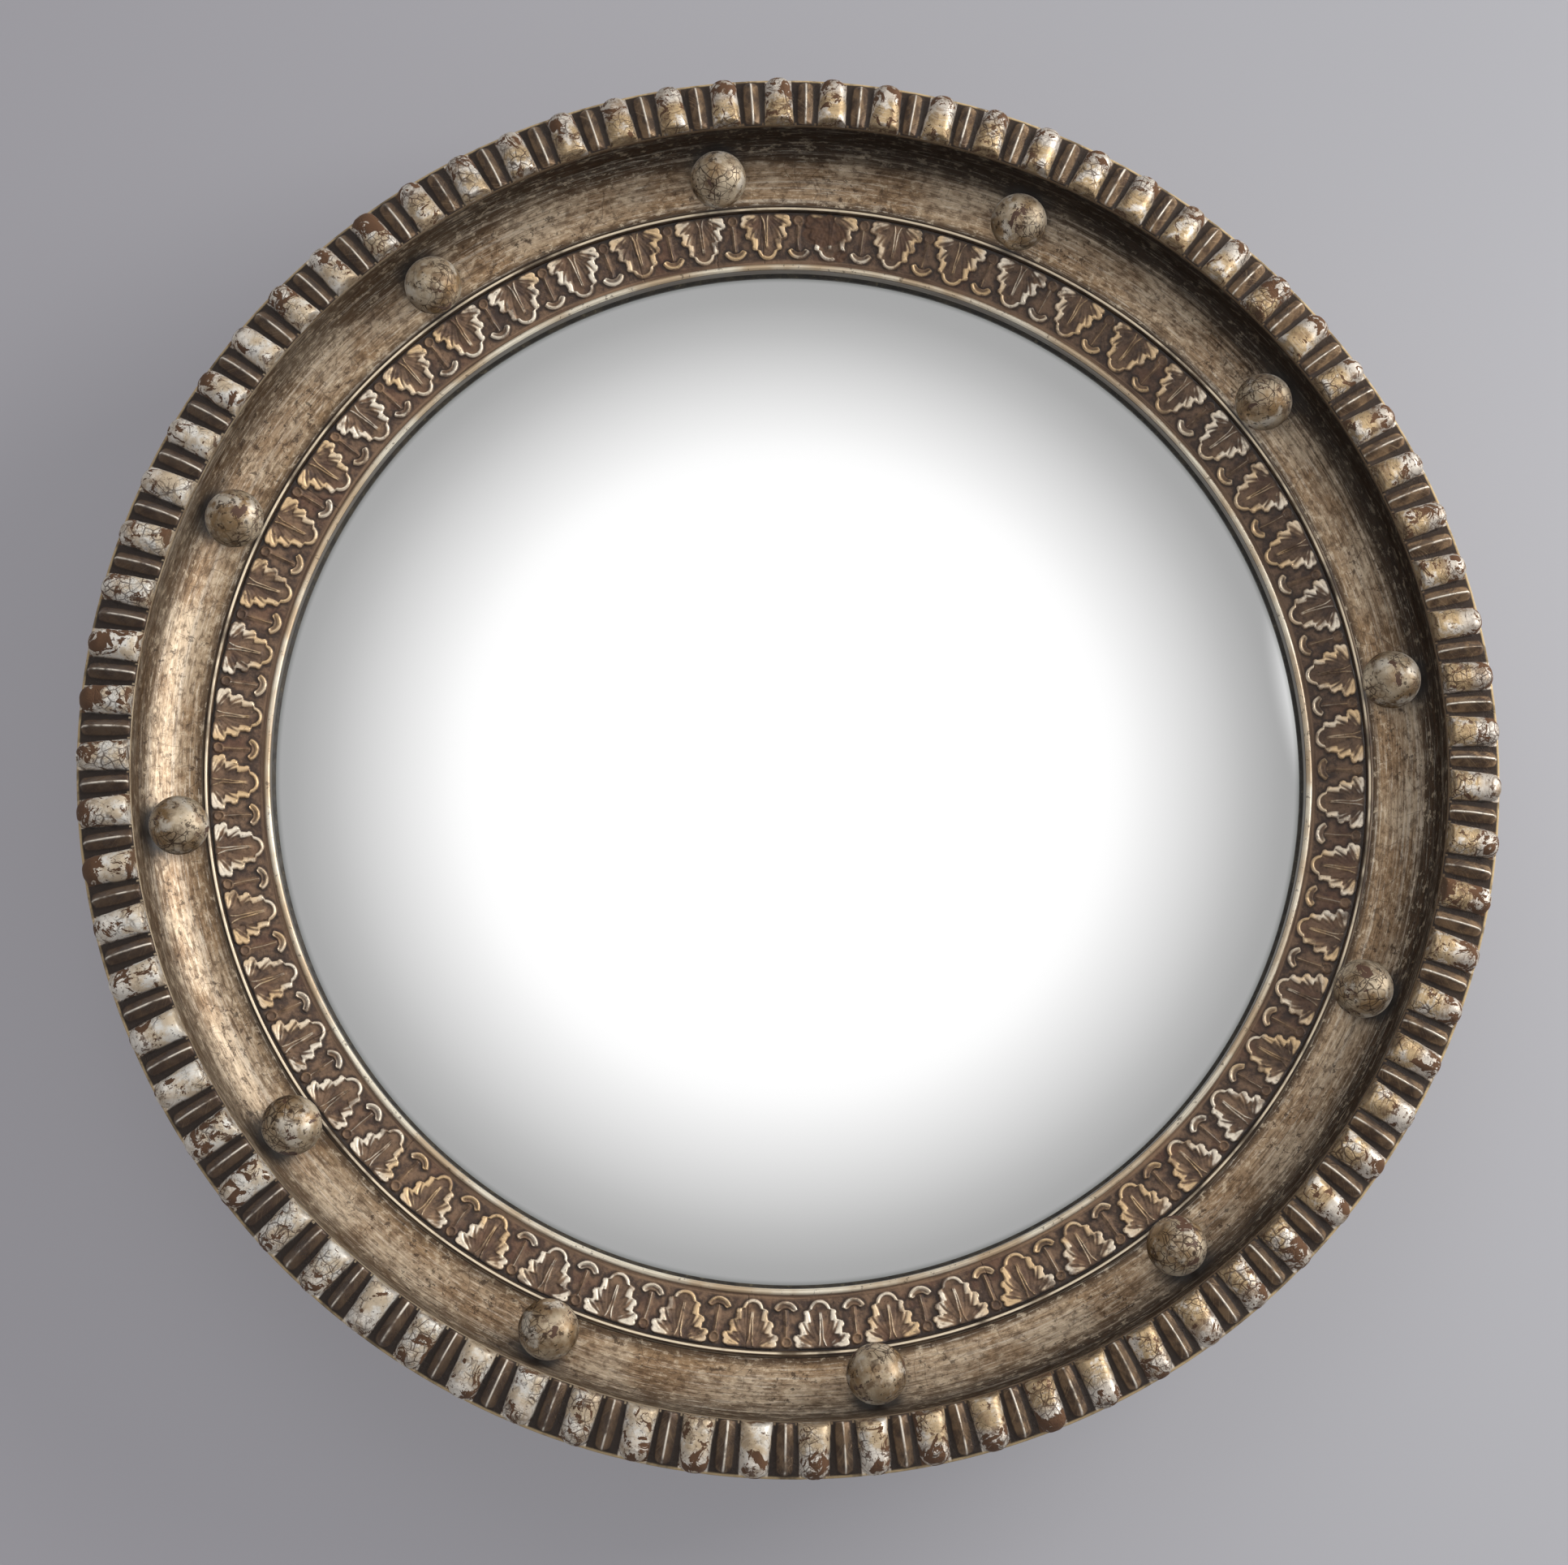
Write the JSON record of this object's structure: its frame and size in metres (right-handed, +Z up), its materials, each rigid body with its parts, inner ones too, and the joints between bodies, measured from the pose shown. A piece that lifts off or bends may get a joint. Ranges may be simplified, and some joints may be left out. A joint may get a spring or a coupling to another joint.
{
  "type": "convex wall mirror",
  "caption": "Round convex wall mirror in a turned frame with a gadrooned rim, balls in a deep cove and an acanthus leaf band.",
  "frame": {"origin": "centre of the mirror in the plane of the wall that it hangs on", "axes": "+Z up, -Y out of the wall towards the room, +X to the right for someone who looks at the glass"},
  "size_m": [0.4568, 0.0645, 0.4568],
  "materials": {
    "silvered_wood": "worn silver leaf over red-brown bole, toned and rubbed",
    "silvered_composition": "toned silver leaf, bright on the high points, dark in the ground",
    "ebonised_wood": "ebonised, satin",
    "mirror": "silvered glass, polished",
    "back_wood": "stained softwood, matt",
    "board": "bare plywood, matt",
    "cork": "bare cork",
    "iron": "dull wrought iron",
    "brass": "tarnished brass",
    "steel": "zinc-plated steel, dull",
    "felt": "dense felt"
  },
  "bodies": {
    "frame": {"base_ring": "back_wood", "cove_ring": "silvered_wood", "cove_wall_ring": "silvered_wood", "gadroon_rim": "silvered_wood", "leaf_band": "silvered_composition", "sight_bead": "silvered_composition", "black_slip": "ebonised_wood", "mirror_glass": "mirror", "packing_ring": "cork", "backboard": "board", "ball_brads": "iron", "turn_button_screws": "brass", "hanger_strap": "steel", "hanger_screws": "steel", "wall_bumpers": "felt", "ball_01": "silvered_wood", "ball_02": "silvered_wood", "ball_03": "silvered_wood", "ball_04": "silvered_wood", "ball_05": "silvered_wood", "ball_06": "silvered_wood", "ball_07": "silvered_wood", "ball_08": "silvered_wood", "ball_09": "silvered_wood", "ball_10": "silvered_wood", "ball_11": "silvered_wood", "ball_12": "silvered_wood"},
    "hanging_ring": {"hanger_ring": "steel"},
    "turn_button_1": {"turn_button_1": "brass"},
    "turn_button_2": {"turn_button_2": "brass"},
    "turn_button_3": {"turn_button_3": "brass"},
    "turn_button_4": {"turn_button_4": "brass"},
    "turn_button_5": {"turn_button_5": "brass"},
    "turn_button_6": {"turn_button_6": "brass"}
  },
  "joints": [
    {"name": "hanger_ring_swing", "type": "hinge", "parent": "frame", "child": "hanging_ring", "pos_m": [0, -0.0037, 0.206], "axis": [-1, 0, 0], "range_deg": [0, 165]},
    {"name": "turn_button_1_swivel", "type": "hinge", "parent": "frame", "child": "turn_button_1", "pos_m": [0.1955, -0.005, 0], "axis": [0, 1, 0], "continuous": true},
    {"name": "turn_button_2_swivel", "type": "hinge", "parent": "frame", "child": "turn_button_2", "pos_m": [0.09775, -0.005, 0.16931], "axis": [0, 1, 0], "continuous": true},
    {"name": "turn_button_3_swivel", "type": "hinge", "parent": "frame", "child": "turn_button_3", "pos_m": [-0.09775, -0.005, 0.16931], "axis": [0, 1, 0], "continuous": true},
    {"name": "turn_button_4_swivel", "type": "hinge", "parent": "frame", "child": "turn_button_4", "pos_m": [-0.1955, -0.005, 0], "axis": [0, 1, 0], "continuous": true},
    {"name": "turn_button_5_swivel", "type": "hinge", "parent": "frame", "child": "turn_button_5", "pos_m": [-0.09775, -0.005, -0.16931], "axis": [0, 1, 0], "continuous": true},
    {"name": "turn_button_6_swivel", "type": "hinge", "parent": "frame", "child": "turn_button_6", "pos_m": [0.09775, -0.005, -0.16931], "axis": [0, 1, 0], "continuous": true}
  ]
}
